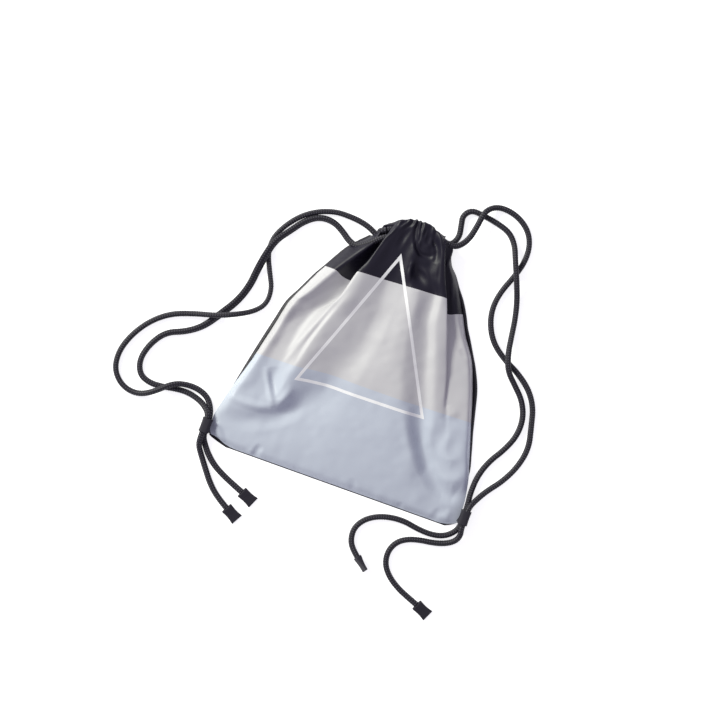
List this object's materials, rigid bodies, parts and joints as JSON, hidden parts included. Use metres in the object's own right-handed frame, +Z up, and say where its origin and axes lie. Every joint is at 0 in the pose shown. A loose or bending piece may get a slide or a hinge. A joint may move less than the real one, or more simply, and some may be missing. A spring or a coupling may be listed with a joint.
{
  "type": "drawstring bag",
  "caption": "Soft cloth drawstring bag lying flat with its mouth drawn in, cords laid out at both sides and run back through a loop at each bottom corner, with cloth end tabs.",
  "frame": {"origin": "on the resting surface, under the middle of the bag without its loose cords", "axes": "+Z up from the resting surface, +Y from the bottom seam to the drawn mouth, +X to the bag's right as it lies"},
  "size_m": [0.5273, 0.5209, 0.0351],
  "materials": {
    "cloth_front": "satin",
    "cloth_back": "satin",
    "cord": "matte",
    "ribbon": "matte",
    "thread": "matte"
  },
  "bodies": {
    "back": {"back_panel": "cloth_back", "left_side_seam": "cloth_back", "right_side_seam": "cloth_back", "bottom_seam": "cloth_back", "back_channel": "cloth_back", "left_cord_back_run": "cord", "right_cord_back_run": "cord", "left_cord_return": "cord", "right_cord_return": "cord", "left_corner_loop": "ribbon", "right_corner_loop": "ribbon", "left_bar_tack": "thread", "right_bar_tack": "thread", "left_strand_back": "cord", "left_strand_front": "cord", "right_strand_back": "cord", "right_strand_front": "cord"},
    "front": {"front_panel": "cloth_front", "front_channel": "cloth_front", "left_cord_front_run": "cord", "right_cord_front_run": "cord"},
    "left_end_inner": {"left_tail_inner": "cord", "left_end_tab_inner": "ribbon"},
    "left_end_outer": {"left_tail_outer": "cord", "left_end_tab_outer": "ribbon"},
    "right_end_inner": {"right_tail_inner": "cord", "right_end_tab_inner": "ribbon"},
    "right_end_outer": {"right_tail_outer": "cord", "right_end_tab_outer": "ribbon"}
  },
  "joints": [
    {"name": "mouth_opening", "type": "hinge", "parent": "back", "child": "front", "pos_m": [0, -0.1675, 0.002], "axis": [1, 0, 0], "range_deg": [0, 12]},
    {"name": "left_tail_inner_swing", "type": "hinge", "parent": "back", "child": "left_end_inner", "pos_m": [-0.169, -0.168, 0.0048], "axis": [0, 0, 1], "range_deg": [-70, 10]},
    {"name": "left_tail_outer_swing", "type": "hinge", "parent": "back", "child": "left_end_outer", "pos_m": [-0.171, -0.168, 0.0113], "axis": [0, 0, 1], "range_deg": [-70, 10]},
    {"name": "right_tail_inner_swing", "type": "hinge", "parent": "back", "child": "right_end_inner", "pos_m": [0.171, -0.168, 0.0048], "axis": [0, 0, 1], "range_deg": [-6, 60]},
    {"name": "right_tail_outer_swing", "type": "hinge", "parent": "back", "child": "right_end_outer", "pos_m": [0.173, -0.168, 0.0113], "axis": [0, 0, 1], "range_deg": [-6, 60]}
  ],
  "couplings": [
    {"joint": "left_tail_outer_swing", "follows": "left_tail_inner_swing", "ratio": 1},
    {"joint": "right_tail_outer_swing", "follows": "right_tail_inner_swing", "ratio": 1}
  ]
}
